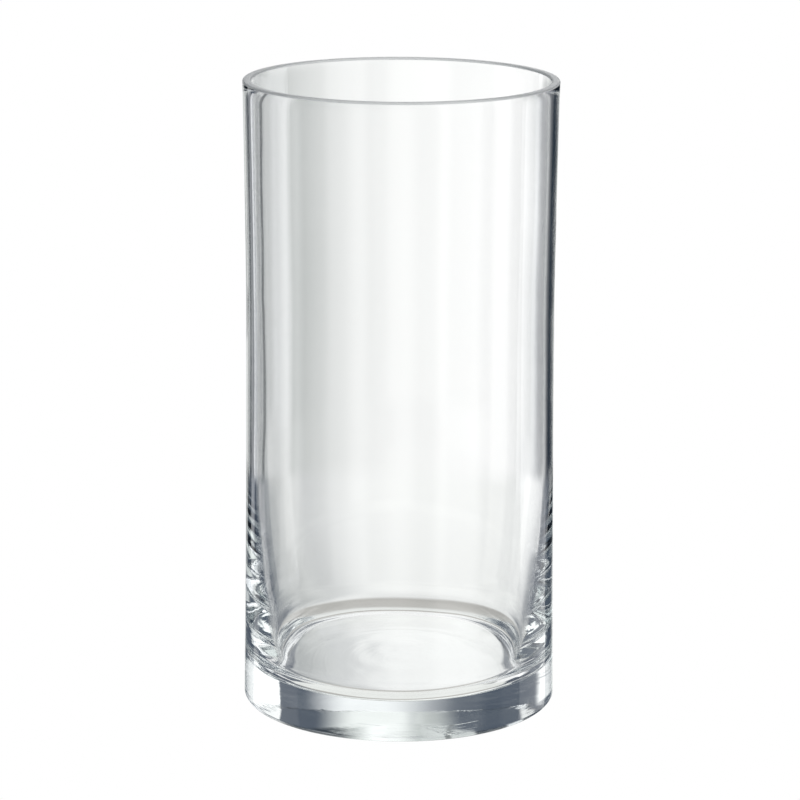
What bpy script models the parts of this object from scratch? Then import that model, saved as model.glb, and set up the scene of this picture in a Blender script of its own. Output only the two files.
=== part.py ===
"""Glass cylinder vase: one heavy-based vessel of clear glass with a slight waist.

The vase stands on the XY plane with its axis on +Z, and the origin is the centre
of its foot. All lengths are in metres.
"""

import math

import bmesh
import bpy

# Outside of the vessel.
HEIGHT = 0.300
FOOT_RADIUS = 0.0750
WAIST_RADIUS = 0.0729
RIM_RADIUS = 0.0740
WAIST_HEIGHT = 0.195
WAIST_SWEEP = 1.5        # power of the flare above and below the waist

# Inside of the vessel: an even wall that thickens towards a heavy floor.
RIM_WALL = 0.0040
FOOT_WALL = 0.0136
THICKENING_HEIGHT = 0.120
THICKENING_SWEEP = 2.2   # power of the thickening towards the floor
FLOOR_THICKNESS = 0.0155
FLOOR_FILLET_HEIGHT = 0.0115
FLOOR_FILLET_WIDTH = 0.0110

# Edges and underside.
RIM_ROUND = 0.0010
HEEL_ROUND = 0.0025
STANDING_RING_WIDTH = 0.0140
PUSH_UP = 0.0004         # how far the middle of the underside clears the table

# Fineness of the turned surface.
SEGMENTS = 96
INNER_WALL_STEPS = 20
OUTER_WALL_STEPS = 9
FILLET_STEPS = 8
EDGE_STEPS = 3
FLOOR_STEPS = 3
PUSH_UP_STEPS = 4
MERGE_DISTANCE = 0.00005

GLASS_COLOUR = (0.93, 0.98, 0.96, 1.0)
GLASS_IOR = 1.51
GLASS_ROUGHNESS = 0.0


def outer_radius(z):
    """Outside radius of the body at a height, waisted between foot and rim."""
    if z < WAIST_HEIGHT:
        flare = 1.0 - z / WAIST_HEIGHT
        return WAIST_RADIUS + (FOOT_RADIUS - WAIST_RADIUS) * flare ** WAIST_SWEEP
    flare = (z - WAIST_HEIGHT) / (HEIGHT - WAIST_HEIGHT)
    return WAIST_RADIUS + (RIM_RADIUS - WAIST_RADIUS) * flare ** WAIST_SWEEP


def wall_thickness(z):
    """Wall thickness at a height: even at the top, thicker towards the floor."""
    drop = max(0.0, 1.0 - (z - FLOOR_THICKNESS) / (THICKENING_HEIGHT - FLOOR_THICKNESS))
    return RIM_WALL + (FOOT_WALL - RIM_WALL) * drop ** THICKENING_SWEEP


def inner_radius(z):
    return outer_radius(z) - wall_thickness(z)


def quarter_turn(centre, width, height, start_degrees, steps):
    """Points of a quarter ellipse, turning clockwise from a start angle."""
    points = []
    for step in range(steps + 1):
        angle = math.radians(start_degrees - 90.0 * step / steps)
        points.append((centre[0] + width * math.cos(angle), centre[1] + height * math.sin(angle)))
    return points


def stretch(radius_at, z_start, z_end, steps):
    """Points between two heights on a wall surface, without its two ends."""
    points = []
    for step in range(1, steps):
        z = z_start + (z_end - z_start) * step / steps
        points.append((radius_at(z), z))
    return points


def floor_points():
    """Flat inside floor, from the axis to the foot of the fillet."""
    edge = inner_radius(FLOOR_THICKNESS + FLOOR_FILLET_HEIGHT) - FLOOR_FILLET_WIDTH
    return [(edge * step / FLOOR_STEPS, FLOOR_THICKNESS) for step in range(FLOOR_STEPS)]


def fillet_points():
    """Concave turn from the inside floor up into the inside wall."""
    top = FLOOR_THICKNESS + FLOOR_FILLET_HEIGHT
    centre = (inner_radius(top) - FLOOR_FILLET_WIDTH, top)
    falling = quarter_turn(centre, FLOOR_FILLET_WIDTH, FLOOR_FILLET_HEIGHT, 0.0, FILLET_STEPS)
    return falling[::-1]


def rim_points():
    """Flat ground lip with a small round on its inner and outer edges."""
    shoulder = HEIGHT - RIM_ROUND
    inner_centre = (inner_radius(HEIGHT) + RIM_ROUND, shoulder)
    outer_centre = (outer_radius(HEIGHT) - RIM_ROUND, shoulder)
    inner_turn = quarter_turn(inner_centre, RIM_ROUND, RIM_ROUND, 180.0, EDGE_STEPS)
    outer_turn = quarter_turn(outer_centre, RIM_ROUND, RIM_ROUND, 90.0, EDGE_STEPS)
    return inner_turn + outer_turn


def heel_points():
    """Round between the outside wall and the standing ring."""
    centre = (outer_radius(HEEL_ROUND) - HEEL_ROUND, HEEL_ROUND)
    return quarter_turn(centre, HEEL_ROUND, HEEL_ROUND, 0.0, EDGE_STEPS)


def underside_points():
    """Shallow push-up inside the flat standing ring, from the ring to the axis."""
    edge = outer_radius(HEEL_ROUND) - HEEL_ROUND - STANDING_RING_WIDTH
    points = []
    for step in range(PUSH_UP_STEPS, -1, -1):
        share = step / PUSH_UP_STEPS
        points.append((edge * share, PUSH_UP * 0.5 * (1.0 + math.cos(math.pi * share))))
    return points


def vase_profile():
    """Section from the middle of the floor, over the rim, to the middle of the underside."""
    fillet_top = FLOOR_THICKNESS + FLOOR_FILLET_HEIGHT
    shoulder = HEIGHT - RIM_ROUND
    points = floor_points()
    points += fillet_points()
    points += stretch(inner_radius, fillet_top, shoulder, INNER_WALL_STEPS)
    points += rim_points()
    points += stretch(outer_radius, shoulder, HEEL_ROUND, OUTER_WALL_STEPS)
    points += heel_points()
    points += underside_points()
    return points


def clear_scene():
    for existing in list(bpy.data.objects):
        bpy.data.objects.remove(existing, do_unlink=True)


def new_collection(name):
    collection = bpy.data.collections.new(name)
    bpy.context.scene.collection.children.link(collection)
    return collection


def glass_material():
    material = bpy.data.materials.new("clear_glass")
    material.use_nodes = True
    shader = material.node_tree.nodes["Principled BSDF"]
    shader.inputs["Base Color"].default_value = GLASS_COLOUR
    shader.inputs["Roughness"].default_value = GLASS_ROUGHNESS
    shader.inputs["Metallic"].default_value = 0.0
    shader.inputs["IOR"].default_value = GLASS_IOR
    shader.inputs["Transmission Weight"].default_value = 1.0
    return material


def turned_object(name, profile, collection, material):
    """Object turned about Z from (radius, height) points by a Screw modifier."""
    mesh = bpy.data.meshes.new(name)
    shape = bmesh.new()
    verts = [shape.verts.new((radius, 0.0, height)) for radius, height in profile]
    for start, end in zip(verts, verts[1:]):
        shape.edges.new((start, end))
    shape.to_mesh(mesh)
    shape.free()
    mesh.materials.append(material)

    turned = bpy.data.objects.new(name, mesh)
    collection.objects.link(turned)
    screw = turned.modifiers.new("Turn", "SCREW")
    screw.axis = "Z"
    screw.angle = 2.0 * math.pi
    screw.steps = SEGMENTS
    screw.render_steps = SEGMENTS
    screw.use_merge_vertices = True
    screw.merge_threshold = MERGE_DISTANCE
    screw.use_smooth_shade = True
    return turned


def build_vase():
    parts = new_collection("glass_cylinder_vase")
    turned_object("glass_vessel", vase_profile(), parts, glass_material())


clear_scene()
build_vase()
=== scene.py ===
import math
from collections import namedtuple

import bmesh
import bpy
from mathutils import Matrix, Vector, noise


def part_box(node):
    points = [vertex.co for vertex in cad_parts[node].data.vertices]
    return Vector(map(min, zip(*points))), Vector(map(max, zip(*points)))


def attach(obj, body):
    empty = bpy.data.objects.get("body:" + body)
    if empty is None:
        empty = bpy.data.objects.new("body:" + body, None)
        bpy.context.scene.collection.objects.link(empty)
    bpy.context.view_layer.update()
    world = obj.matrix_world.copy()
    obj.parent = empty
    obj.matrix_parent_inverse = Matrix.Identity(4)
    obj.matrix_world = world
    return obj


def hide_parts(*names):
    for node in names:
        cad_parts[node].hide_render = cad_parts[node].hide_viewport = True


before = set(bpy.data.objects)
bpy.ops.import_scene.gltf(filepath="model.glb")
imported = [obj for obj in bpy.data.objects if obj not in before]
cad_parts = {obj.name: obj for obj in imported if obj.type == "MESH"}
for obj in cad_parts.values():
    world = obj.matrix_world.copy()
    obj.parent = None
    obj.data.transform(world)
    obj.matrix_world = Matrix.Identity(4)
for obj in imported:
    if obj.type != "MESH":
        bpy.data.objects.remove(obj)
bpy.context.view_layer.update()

# ---- The vase, in metres and in the CAD frame: the CAD part's dimensions ----
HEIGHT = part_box("glass_vessel")[1][2]
FOOT_RADIUS = 0.0750
WAIST_RADIUS = 0.0729
RIM_RADIUS = 0.0740
WAIST_HEIGHT = 0.195
WAIST_SWEEP = 1.5         # power of the flare above and below the waist

RIM_WALL = 0.0040
FOOT_WALL = 0.0136
THICKENING_HEIGHT = 0.120
THICKENING_SWEEP = 2.2    # power of the thickening towards the floor
FLOOR_THICKNESS = 0.0155
FLOOR_FILLET_HEIGHT = 0.0115
FLOOR_FILLET_WIDTH = 0.0110

RIM_ROUND = 0.0010
HEEL_ROUND = 0.0025
STANDING_RING_WIDTH = 0.0140
PUSH_UP = 0.0004          # how far the middle of the underside clears the table

# Fineness of the turned surface.
SEGMENTS = 384
INNER_STEPS = 82
OUTER_STEPS = 58
FILLET_STEPS = 36
EDGE_STEPS = 6
FLOOR_STEPS = 24
RING_STEPS = 8
PUSH_UP_STEPS = 32
ON_AXIS = 1e-9            # a radius below this is a point on the axis

# The mesh's material slots.
GLASS_SLOT = 0
LIP_SLOT = 1


def outer_radius(z):
    """Outside radius of the body at a height, waisted between foot and rim."""
    if z < WAIST_HEIGHT:
        flare = 1.0 - z / WAIST_HEIGHT
        return WAIST_RADIUS + (FOOT_RADIUS - WAIST_RADIUS) * flare ** WAIST_SWEEP
    flare = (z - WAIST_HEIGHT) / (HEIGHT - WAIST_HEIGHT)
    return WAIST_RADIUS + (RIM_RADIUS - WAIST_RADIUS) * flare ** WAIST_SWEEP


def wall_thickness(z):
    """Wall thickness at a height: even at the top, thicker towards the floor."""
    drop = max(0.0, 1.0 - (z - FLOOR_THICKNESS) / (THICKENING_HEIGHT - FLOOR_THICKNESS))
    return RIM_WALL + (FOOT_WALL - RIM_WALL) * drop ** THICKENING_SWEEP


def inner_radius(z):
    return outer_radius(z) - wall_thickness(z)


def quarter_turn(centre, width, height, start_degrees, steps):
    """Points of a quarter ellipse, turning clockwise from a start angle."""
    points = []
    for step in range(steps + 1):
        angle = math.radians(start_degrees - 90.0 * step / steps)
        points.append((centre[0] + width * math.cos(angle), centre[1] + height * math.sin(angle)))
    return points


def stretch(radius_at, z_start, z_end, steps):
    """Points between two heights on a wall surface, without its two ends."""
    points = []
    for step in range(1, steps):
        z = z_start + (z_end - z_start) * step / steps
        points.append((radius_at(z), z))
    return points


def floor_points():
    """Inside floor, from the axis to the foot of the fillet."""
    edge = inner_radius(FLOOR_THICKNESS + FLOOR_FILLET_HEIGHT) - FLOOR_FILLET_WIDTH
    return [(edge * step / FLOOR_STEPS, FLOOR_THICKNESS) for step in range(FLOOR_STEPS)]


def fillet_points():
    """Concave turn from the inside floor up into the inside wall."""
    top = FLOOR_THICKNESS + FLOOR_FILLET_HEIGHT
    centre = (inner_radius(top) - FLOOR_FILLET_WIDTH, top)
    falling = quarter_turn(centre, FLOOR_FILLET_WIDTH, FLOOR_FILLET_HEIGHT, 0.0, FILLET_STEPS)
    return falling[::-1]


def rim_points():
    """Flat ground lip with a small round on its inner and outer edges."""
    shoulder = HEIGHT - RIM_ROUND
    inner_centre = (inner_radius(HEIGHT) + RIM_ROUND, shoulder)
    outer_centre = (outer_radius(HEIGHT) - RIM_ROUND, shoulder)
    inner_turn = quarter_turn(inner_centre, RIM_ROUND, RIM_ROUND, 180.0, EDGE_STEPS)
    outer_turn = quarter_turn(outer_centre, RIM_ROUND, RIM_ROUND, 90.0, EDGE_STEPS)
    return inner_turn + outer_turn


def heel_points():
    """Round between the outside wall and the standing ring."""
    centre = (outer_radius(HEEL_ROUND) - HEEL_ROUND, HEEL_ROUND)
    return quarter_turn(centre, HEEL_ROUND, HEEL_ROUND, 0.0, EDGE_STEPS)


def underside_points():
    """Flat standing ring and the shallow push-up inside it, from the heel to the axis."""
    ring_edge = outer_radius(HEEL_ROUND) - HEEL_ROUND
    edge = ring_edge - STANDING_RING_WIDTH
    points = []
    for step in range(1, RING_STEPS):
        points.append((ring_edge - STANDING_RING_WIDTH * step / RING_STEPS, 0.0))
    for step in range(PUSH_UP_STEPS, -1, -1):
        share = step / PUSH_UP_STEPS
        points.append((edge * share, PUSH_UP * 0.5 * (1.0 + math.cos(math.pi * share))))
    return points


def vase_profile():
    """Section from the middle of the floor, over the rim, to the middle of the underside."""
    fillet_top = FLOOR_THICKNESS + FLOOR_FILLET_HEIGHT
    shoulder = HEIGHT - RIM_ROUND
    points = floor_points()
    points += fillet_points()
    points += stretch(inner_radius, fillet_top, shoulder, INNER_STEPS)
    points += rim_points()
    points += stretch(outer_radius, shoulder, HEEL_ROUND, OUTER_STEPS)
    points += heel_points()
    points += underside_points()
    return points


# ---- Unevenness of the surfaces, in metres ----
# A wave is how far it moves the surface, its waves round the vase, its height up the wall
# and the seed of its pattern.
Wave = namedtuple("Wave", "size across upward seed")
LONG_WAVES = Wave(0.00012, 1.6, 0.070, 1.3)
RINGS = Wave(0.00003, 0.5, 0.012, 4.1)
SWIRL = Wave(0.00025, 1.8, 0.015, 7.7)
FEATHER = Wave(0.00009, 4.0, 0.010, 2.9)
OUTSIDE_WAVES = Wave(0.00005, 1.4, 0.060, 5.5)
SWIRL_TURN = 9.0          # radians per metre of height that the swirls lean round the wall
FEATHER_TURN = -16.0
SWIRL_REACH = 0.095       # height at which the swirls and feathers have died out
QUIET_SIDE = 0.14         # their share on the quieter side of the vase, at +X
RIPPLE = 0.00005
RIPPLE_PITCH = 0.0065
RIPPLE_REACH = 0.045

FLOOR_WAVES = 0.00020
FLOOR_WAVE_WIDTH = 0.020
FLOOR_RINGS = 0.00005
FLOOR_RING_WIDTH = 0.0022
FLOOR_EDGE = 0.55         # share of the inside radius where floor gives way to wall
FINE_DIMPLES = 0.000022
FINE_DIMPLE_WIDTH = 0.007
BROAD_DIMPLES = 0.00005
BROAD_DIMPLE_WIDTH = 0.022
UNDERSIDE_LIFT = 0.0001   # keeps the dimples off the table
SETTLE_WIDTH = 0.004      # the flat edge of the foot, and the width over which dimples set in


def drift(angle, z, wave):
    """Smooth noise on a cylinder, as large as the wave's size."""
    x = wave.across * math.cos(angle) + wave.seed
    y = wave.across * math.sin(angle) - wave.seed
    return wave.size * noise.noise(Vector((x, y, z / wave.upward + 3.0 * wave.seed)))


def dimples(x, y, width, seed):
    """Smooth noise over a flat face, from -1 to 1."""
    return noise.noise(Vector((x / width, y / width, seed)))


def clamp(value):
    return min(1.0, max(0.0, value))


def near_foot(z, reach):
    """1 at the table, fading to 0 at the height reach."""
    share = clamp(1.0 - z / reach)
    return share * share * (3.0 - 2.0 * share)


def inner_unevenness(angle, z):
    """How far the inside wall is moved towards the axis."""
    left = 0.5 - 0.5 * math.cos(angle)
    lively = QUIET_SIDE + (1.0 - QUIET_SIDE) * left
    swirl = drift(angle + SWIRL_TURN * z, z, SWIRL)
    feather = drift(angle + FEATHER_TURN * z, z, FEATHER)
    marks = lively * near_foot(z, SWIRL_REACH) * (swirl + feather)
    ripple = RIPPLE * near_foot(z, RIPPLE_REACH) * math.sin(2.0 * math.pi * z / RIPPLE_PITCH)
    return drift(angle, z, LONG_WAVES) + drift(angle, z, RINGS) + marks + ripple


def underside_unevenness(x, y):
    fine = dimples(x, y, FINE_DIMPLE_WIDTH, 0.4)
    broad = dimples(x, y, BROAD_DIMPLE_WIDTH, 8.4)
    return FINE_DIMPLES * fine + BROAD_DIMPLES * broad


def floor_unevenness(x, y):
    waves = dimples(x, y, FLOOR_WAVE_WIDTH, 2.2)
    rings = math.sin(math.hypot(x, y) / FLOOR_RING_WIDTH)
    return FLOOR_WAVES * waves + FLOOR_RINGS * rings


def uneven_point(radius, z, angle, side):
    """A point of the turned surface, moved by the unevenness of the side it is on."""
    lift = 0.0
    if side == "inner":
        wall_share = min(1.0, radius / (inner_radius(z) * FLOOR_EDGE)) ** 4
        floor_x, floor_y = radius * math.cos(angle), radius * math.sin(angle)
        lift = (1.0 - wall_share) * floor_unevenness(floor_x, floor_y)
        radius -= wall_share * inner_unevenness(angle, z)
    elif side == "outer":
        radius -= abs(drift(angle, z, OUTSIDE_WAVES))
    x, y = radius * math.cos(angle), radius * math.sin(angle)
    if side == "under":
        settle = clamp((FOOT_RADIUS - SETTLE_WIDTH - radius) / SETTLE_WIDTH)
        lift = settle * (UNDERSIDE_LIFT + underside_unevenness(x, y))
    return x, y, z + lift


def side_of(k, radius, z, profile_top):
    """Which surface a profile point is on: inner, rim, outer, heel or under."""
    if z > HEIGHT - 1.5 * RIM_ROUND:
        return "rim"
    if k < profile_top:
        return "inner"
    if z > HEEL_ROUND * 1.01:
        return "outer"
    if z < PUSH_UP * 1.03 and radius < FOOT_RADIUS - HEEL_ROUND * 1.2:
        return "under"
    return "heel"


def ring_face(shape, first, second, m):
    """The face between two neighbouring rings at one segment; a ring on the axis is one point."""
    after = (m + 1) % SEGMENTS
    if len(first) == 1:
        return shape.faces.new((first[0], second[m], second[after]))
    if len(second) == 1:
        return shape.faces.new((first[m], first[after], second[0]))
    return shape.faces.new((first[m], first[after], second[after], second[m]))


def turned_mesh(name, profile):
    """Closed mesh of revolution from (radius, height) points that start and end on the axis."""
    shape = bmesh.new()
    rings = []
    top = max(range(len(profile)), key=lambda k: profile[k][1])
    for k, (radius, z) in enumerate(profile):
        side = side_of(k, radius, z, top)
        if radius < ON_AXIS:
            rings.append([shape.verts.new(uneven_point(0.0, z, 0.0, side))])
            continue
        ring = []
        for m in range(SEGMENTS):
            angle = 2.0 * math.pi * m / SEGMENTS
            ring.append(shape.verts.new(uneven_point(radius, z, angle, side)))
        rings.append(ring)
    for k, (first, second) in enumerate(zip(rings, rings[1:])):
        lip = min(profile[k][1], profile[k + 1][1]) > HEIGHT - RIM_ROUND * 1.01
        for m in range(SEGMENTS):
            face = ring_face(shape, first, second, m)
            face.material_index = LIP_SLOT if lip else GLASS_SLOT
    bmesh.ops.recalc_face_normals(shape, faces=shape.faces)
    mesh = bpy.data.meshes.new(name)
    shape.to_mesh(mesh)
    shape.free()
    mesh.shade_smooth()
    return mesh


class NodeKit:
    """Adds small groups of nodes to a tree; values are numbers, colours or output sockets."""

    def __init__(self, tree):
        self.tree = tree

    def feed(self, socket, value):
        """Link an output socket to the input, or set the input to a plain value."""
        if hasattr(value, "is_output"):
            self.tree.links.new(value, socket)
        else:
            socket.default_value = value

    def math(self, operation, *values):
        node = self.tree.nodes.new("ShaderNodeMath")
        node.operation = operation
        for socket, value in zip(node.inputs, values):
            self.feed(socket, value)
        return node.outputs[0]

    def rise(self, value, at, width):
        """0 below at and 1 above it, with a smooth change of the given width."""
        node = self.tree.nodes.new("ShaderNodeMapRange")
        node.interpolation_type = "SMOOTHSTEP"
        self.feed(node.inputs["Value"], value)
        node.inputs["From Min"].default_value = at - width / 2
        node.inputs["From Max"].default_value = at + width / 2
        return node.outputs["Result"]

    def between(self, value, span, softness):
        """1 inside the span and 0 outside it, each end with its own softness."""
        low_side = self.rise(value, span[0], softness[0])
        high_side = self.rise(value, span[1], softness[1])
        return self.math("SUBTRACT", low_side, high_side)

    def cover(self, under, share, over, label):
        """Lay a colour over another by its share."""
        node = self.tree.nodes.new("ShaderNodeMixRGB")
        node.label = label
        self.feed(node.inputs["Fac"], share)
        self.feed(node.inputs["Color1"], under)
        self.feed(node.inputs["Color2"], over)
        return node.outputs["Color"]

    def place(self):
        """Object coordinates in metres, as X, Y and Z."""
        where = self.tree.nodes.new("ShaderNodeTexCoord")
        split = self.tree.nodes.new("ShaderNodeSeparateXYZ")
        self.tree.links.new(where.outputs["Object"], split.inputs[0])
        return split.outputs["X"], split.outputs["Y"], split.outputs["Z"]

    def spread(self, place, scales):
        """Coordinates multiplied by a scale of their own."""
        return [self.math("MULTIPLY", value, scale) for value, scale in zip(place, scales)]

    def noise(self, x, y, z, detail):
        """Noise from about 0 to 1, with waves one unit wide."""
        join = self.tree.nodes.new("ShaderNodeCombineXYZ")
        for socket, value in zip(join.inputs, (x, y, z)):
            self.feed(socket, value)
        grain = self.tree.nodes.new("ShaderNodeTexNoise")
        grain.inputs["Scale"].default_value = 1.0
        grain.inputs["Detail"].default_value = detail
        self.tree.links.new(join.outputs[0], grain.inputs["Vector"])
        return grain.outputs["Fac"]

    def scale(self, value, low, high):
        """Map 0..1 to low..high."""
        node = self.tree.nodes.new("ShaderNodeMapRange")
        self.feed(node.inputs["Value"], value)
        node.inputs["To Min"].default_value = low
        node.inputs["To Max"].default_value = high
        return node.outputs["Result"]

    def bump(self, height, distance, shader):
        """Bump the shader's normal by a height of 0 to 1 over a distance in metres."""
        node = self.tree.nodes.new("ShaderNodeBump")
        node.inputs["Strength"].default_value = 1.0
        node.inputs["Distance"].default_value = distance
        self.feed(node.inputs["Height"], height)
        self.tree.links.new(node.outputs["Normal"], shader.inputs["Normal"])


# ---- Materials: lengths in metres, scales in noise waves per metre ----
GLASS_IOR = 1.51
GLASS_TINT = (0.80, 0.95, 0.92, 1.0)
GLASS_TINT_DENSITY = 1.6
GLASS_BUMP = 0.00003
ROUND_SCALE = 14.0        # marks and streaks are long round the vase
MARK_SCALE = 420.0        # turning marks, across the underside
STREAK_SCALE = 260.0      # streaks, up the wall
UNDERSIDE_TOP = (0.003, 0.002)    # height where the turning marks end, and its softness
BASE_TOP = (0.022, 0.016)         # height where the strong streaks end, and its softness
STREAKS_ABOVE = 0.03
STREAKS_IN_BASE = 0.6
SMEAR_SCALES = (60.0, 60.0, 25.0)
SMEAR_ROUGHNESS = 0.012

RIM_COLOUR = (0.93, 0.95, 0.95, 1.0)
RIM_TRANSMISSION = 0.45
RIM_BUMP = 0.00012
GRIT_SCALE = 900.0
RIM_ROUGHNESS = (0.30, 0.55)


def glass_material():
    """Clear glass: fine drawn-out streaks round the wall and turning marks across the underside."""
    material = bpy.data.materials.new("clear_glass")
    material.use_nodes = True
    nodes, links = material.node_tree.nodes, material.node_tree.links
    shader = nodes["Principled BSDF"]
    shader.inputs["Base Color"].default_value = (1.0, 1.0, 1.0, 1.0)
    shader.inputs["IOR"].default_value = GLASS_IOR
    shader.inputs["Transmission Weight"].default_value = 1.0

    kit = NodeKit(material.node_tree)
    x, y, z = kit.place()
    radius = kit.math("SQRT", kit.math("ADD", kit.math("MULTIPLY", x, x), kit.math("MULTIPLY", y, y)))
    round_x, round_y = kit.spread((x, y), (ROUND_SCALE, ROUND_SCALE))
    marks = kit.noise(round_x, round_y, kit.math("MULTIPLY", radius, MARK_SCALE), 2.0)
    streaks = kit.noise(round_x, round_y, kit.math("MULTIPLY", z, STREAK_SCALE), 2.0)
    below = kit.math("SUBTRACT", 1.0, kit.rise(z, *UNDERSIDE_TOP))
    in_base = kit.math("SUBTRACT", 1.0, kit.rise(z, *BASE_TOP))
    streak_strength = kit.scale(in_base, STREAKS_ABOVE, STREAKS_IN_BASE)
    height = kit.math("ADD",
                      kit.math("MULTIPLY", marks, below),
                      kit.math("MULTIPLY", streaks, streak_strength))
    kit.bump(height, GLASS_BUMP, shader)

    smear = kit.noise(*kit.spread((x, y, z), SMEAR_SCALES), 3.0)
    links.new(kit.scale(smear, 0.0, SMEAR_ROUGHNESS), shader.inputs["Roughness"])
    tint = nodes.new("ShaderNodeVolumeAbsorption")
    tint.inputs["Color"].default_value = GLASS_TINT
    tint.inputs["Density"].default_value = GLASS_TINT_DENSITY
    links.new(tint.outputs["Volume"], nodes["Material Output"].inputs["Volume"])
    return material


def rim_material():
    """The ground lip: satin, so it scatters the light that crosses it."""
    material = bpy.data.materials.new("ground_rim")
    material.use_nodes = True
    shader = material.node_tree.nodes["Principled BSDF"]
    shader.inputs["Base Color"].default_value = RIM_COLOUR
    shader.inputs["IOR"].default_value = GLASS_IOR
    shader.inputs["Transmission Weight"].default_value = RIM_TRANSMISSION
    kit = NodeKit(material.node_tree)
    grit = kit.noise(*kit.spread(kit.place(), (GRIT_SCALE, GRIT_SCALE, GRIT_SCALE)), 3.0)
    kit.bump(grit, RIM_BUMP, shader)
    material.node_tree.links.new(kit.scale(grit, *RIM_ROUGHNESS), shader.inputs["Roughness"])
    return material


# ---- Studio: what the glass sees, by direction ----
# Angles are in degrees. Azimuth 0 is +Y, the way the camera looks, and 90 is +X, on its right.
# A softness is the width of an edge, lower edge first. A later panel covers an earlier one.
Panel = namedtuple("Panel", "name azimuths softness tone")
Belt = namedtuple("Belt", "name start softness panels")
Card = namedtuple("Card", "name azimuths azimuth_softness elevations elevation_softness tone")

TABLE = (0.97, 0.99, 0.965)
# BEHIND on the table belt is a painted shadow and reflection of the vase on the table behind its
# foot; in the overhead belt the same grey darkens the directions behind the vase.
BEHIND = (0.56, 0.55, 0.52)
DARK = (0.026, 0.036, 0.050)
DEEP = (0.085, 0.105, 0.140)
SHADE = (0.12, 0.125, 0.13)
ROOM = (0.42, 0.43, 0.44)
REAR = (0.72, 0.72, 0.72)
CEILING = (1.0, 1.0, 1.0)
EVERYWHERE = (-400, 400)
SHARP = (1, 1)

# Belts of directions, from the table up; a belt reaches from its start to the next one's.
BELTS = (
    Belt("underneath", -120, 1, (
        Panel("table", EVERYWHERE, SHARP, TABLE),
    )),
    Belt("table_with_painted_shadow", -56, 6, (
        Panel("table", EVERYWHERE, SHARP, TABLE),
        # Painted shadow and reflection of the vase on the table behind it.
        Panel("behind", (-32, 32), (16, 16), BEHIND),
    )),
    Belt("low", -36, 5, (
        Panel("room", EVERYWHERE, SHARP, ROOM),
        Panel("surround", (-62, 60), (6, 6), DEEP),
        Panel("backdrop_side", (-12.5, -4), (10, 3), (0.56, 0.58, 0.575)),
        Panel("backdrop", (-4.5, 17), (9, 14), (1.03, 1.045, 1.03)),
        Panel("right_box", (54, 79), (8, 2), (1.1, 1.1, 1.1)),
        Panel("left_box", (-52, -42), (4, 3), (0.9, 0.9, 0.9)),
        Panel("left_flag", (-80, -54), (4, 4), DEEP),
        Panel("rear_wall", (98, 176), (8, 8), SHADE),
        Panel("rear_backdrop", (116, 154), (14, 14), (0.95, 0.955, 0.95)),
    )),
    Belt("eye", -16.4, 1.4, (
        Panel("surround", EVERYWHERE, SHARP, DARK),
        Panel("backdrop_edge", (-20.5, 12.5), (2, 6), (0.57, 0.595, 0.585)),
        Panel("backdrop_side", (-20.5, -5.5), (2, 0.8), (0.69, 0.71, 0.705)),
        Panel("backdrop", (-2.6, 9), (7, 6), (1.03, 1.04, 1.03)),
        Panel("backdrop_glow", (2.5, 6.8), (4, 2), (1.12, 1.125, 1.12)),
        Panel("seam", (-13.4, -11.8), (1.0, 0.6), (0.20, 0.21, 0.21)),
        Panel("left_card", (-41, -33), (2, 2), (0.95, 0.97, 1.0)),
        Panel("left_wall", (-66, -57), (2, 2), (0.35, 0.36, 0.37)),
        Panel("right_card", (36, 52), (8, 4), (0.65, 0.66, 0.67)),
        Panel("right_box", (50, 78), (8, 1.5), (1.5, 1.5, 1.55)),
        Panel("rear_wall", (106, 400), (6, 1), SHADE),
        Panel("rear_backdrop", (118, 152), (10, 10), (0.95, 0.95, 0.95)),
        Panel("rear_far", (170, 400), (12, 1), REAR),
        Panel("rear_left", (-400, -142), (1, 12), REAR),
    )),
    Belt("high", 10, 5, (
        Panel("surround", EVERYWHERE, SHARP, DEEP),
        Panel("backdrop", (-6, 20), (22, 17), (1.0, 1.005, 1.02)),
        Panel("rear_backdrop", (116, 154), (14, 14), (0.95, 0.955, 0.95)),
    )),
    Belt("overhead", 44, 8, (
        Panel("ceiling", EVERYWHERE, SHARP, CEILING),
        Panel("behind", (-32, 32), (16, 16), BEHIND),
    )),
)
# Single cards in front of the belts.
CARDS = (
    Card("upper_right", (39.5, 92), (1.5, 6), (16, 24), (2, 2), (1.4, 1.4, 1.4)),
    Card("lower_right", (39.5, 60), (1.5, 6), (-25, -15), (2, 2), (1.2, 1.2, 1.2)),
    Card("upper_left", (-92, -56), (6, 8), (17.5, 23), (1.5, 2), (1.3, 1.3, 1.3)),
    Card("side_surround", (-124, -60), (8, 4), (-14, 9), (2, 4), DARK),
    Card("side_backdrop", (-100, -80), (5, 5), (-24, 9), (2, 4), (1.05, 1.05, 1.05)),
)
# How much darker the light gets towards the table.
FALLOFF = 0.13
FALLOFF_FROM = -10
FALLOFF_TO = -38
BLACK = (0.0, 0.0, 0.0, 1.0)
WHITE = (1.0, 1.0, 1.0, 1.0)
FLOOR_SIZE = 12.0


def belt_colour(kit, azimuth, belt):
    """Colour of one belt round the vase."""
    colour = BLACK
    for panel in belt.panels:
        share = kit.between(azimuth, panel.azimuths, panel.softness)
        colour = kit.cover(colour, share, (*panel.tone, 1.0), panel.name)
    return colour


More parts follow.
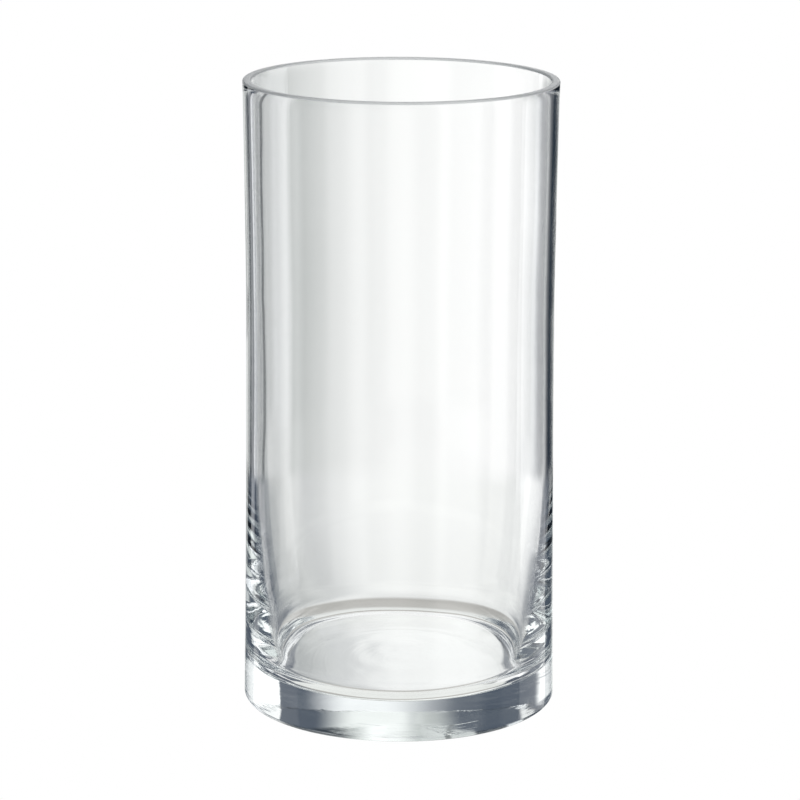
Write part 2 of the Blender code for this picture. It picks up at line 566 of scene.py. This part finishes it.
def studio_world():
    """The studio as a world: the glass sees the belts and cards, and the camera plain white."""
    world = bpy.data.worlds.new("studio")
    bpy.context.scene.world = world
    world.use_nodes = True
    tree = world.node_tree
    tree.nodes.clear()
    kit = NodeKit(tree)
    way = tree.nodes.new("ShaderNodeTexCoord")
    split = tree.nodes.new("ShaderNodeSeparateXYZ")
    tree.links.new(way.outputs["Generated"], split.inputs[0])
    azimuth = kit.math("DEGREES", kit.math("ARCTAN2", split.outputs["X"], split.outputs["Y"]))
    elevation = kit.math("DEGREES", kit.math("ARCSINE", split.outputs["Z"]))

    colour = BLACK
    for belt in BELTS:
        share = kit.rise(elevation, belt.start, belt.softness)
        colour = kit.cover(colour, share, belt_colour(kit, azimuth, belt), belt.name)
    for card in CARDS:
        across = kit.between(azimuth, card.azimuths, card.azimuth_softness)
        upward = kit.between(elevation, card.elevations, card.elevation_softness)
        share = kit.math("MULTIPLY", across, upward)
        colour = kit.cover(colour, share, (*card.tone, 1.0), card.name)
    middle = (FALLOFF_FROM + FALLOFF_TO) / 2
    lit = kit.rise(elevation, middle, FALLOFF_FROM - FALLOFF_TO)
    lost = kit.math("MULTIPLY", kit.math("SUBTRACT", 1.0, lit), FALLOFF)
    colour = kit.cover(colour, lost, BLACK, "falloff")

    seen = tree.nodes.new("ShaderNodeBackground")
    seen.inputs["Color"].default_value = WHITE
    through = tree.nodes.new("ShaderNodeBackground")
    tree.links.new(colour, through.inputs["Color"])
    path = tree.nodes.new("ShaderNodeLightPath")
    choose = tree.nodes.new("ShaderNodeMixShader")
    tree.links.new(path.outputs["Is Camera Ray"], choose.inputs["Fac"])
    tree.links.new(through.outputs[0], choose.inputs[1])
    tree.links.new(seen.outputs[0], choose.inputs[2])
    output = tree.nodes.new("ShaderNodeOutputWorld")
    tree.links.new(choose.outputs[0], output.inputs["Surface"])


def floor():
    """White floor for the camera only; the glass sees the studio's table instead."""
    bpy.ops.mesh.primitive_plane_add(size=FLOOR_SIZE, location=(0.0, 0.0, 0.0))
    plane = bpy.context.object
    plane.name = "studio_floor"
    material = bpy.data.materials.new("white_sweep")
    material.use_nodes = True
    nodes, links = material.node_tree.nodes, material.node_tree.links
    nodes.remove(nodes["Principled BSDF"])
    glow = nodes.new("ShaderNodeEmission")
    glow.inputs["Strength"].default_value = 1.0
    links.new(glow.outputs[0], nodes["Material Output"].inputs["Surface"])
    plane.data.materials.append(material)
    plane.visible_transmission = False
    plane.visible_glossy = False
    plane.visible_diffuse = False
    plane.visible_shadow = False


# ---- Camera: metres and degrees ----
SENSOR_WIDTH = 36.0       # in millimetres
FOCAL_SHARE = 4.13375     # focal length over the sensor's width
CAMERA_DISTANCE = 1.530
CAMERA_HEIGHT = 0.524
PITCH = 13.88             # how far it looks down
ROLL = 0.25


def camera():
    """Camera in front of the vase, on the axis's -Y side, looking a little down."""
    data = bpy.data.cameras.new("camera")
    data.sensor_width = SENSOR_WIDTH
    data.lens = data.sensor_width * FOCAL_SHARE
    view = bpy.data.objects.new("camera", data)
    bpy.context.scene.collection.objects.link(view)
    tilt = Matrix.Rotation(math.radians(90.0 - PITCH), 4, "X")
    roll = Matrix.Rotation(math.radians(ROLL), 4, "Z")
    view.matrix_world = Matrix.Translation((0.0, -CAMERA_DISTANCE, CAMERA_HEIGHT)) @ tilt @ roll
    bpy.context.scene.camera = view


# ---- The scene ----
vase = bpy.data.objects.new("clear_glass_vase", turned_mesh("clear_glass_vase", vase_profile()))
bpy.context.scene.collection.objects.link(vase)
vase.data.materials.append(glass_material())
vase.data.materials.append(rim_material())
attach(vase, "root")
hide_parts("glass_vessel")
studio_world()
floor()
camera()

GLASS_BOUNCES = 32        # light crosses the thick base many times
scene = bpy.context.scene
scene.view_settings.view_transform = "Standard"
scene.cycles.max_bounces = GLASS_BOUNCES
scene.cycles.transmission_bounces = GLASS_BOUNCES
scene.cycles.glossy_bounces = GLASS_BOUNCES
scene.cycles.transparent_max_bounces = GLASS_BOUNCES

bpy.context.view_layer.update()
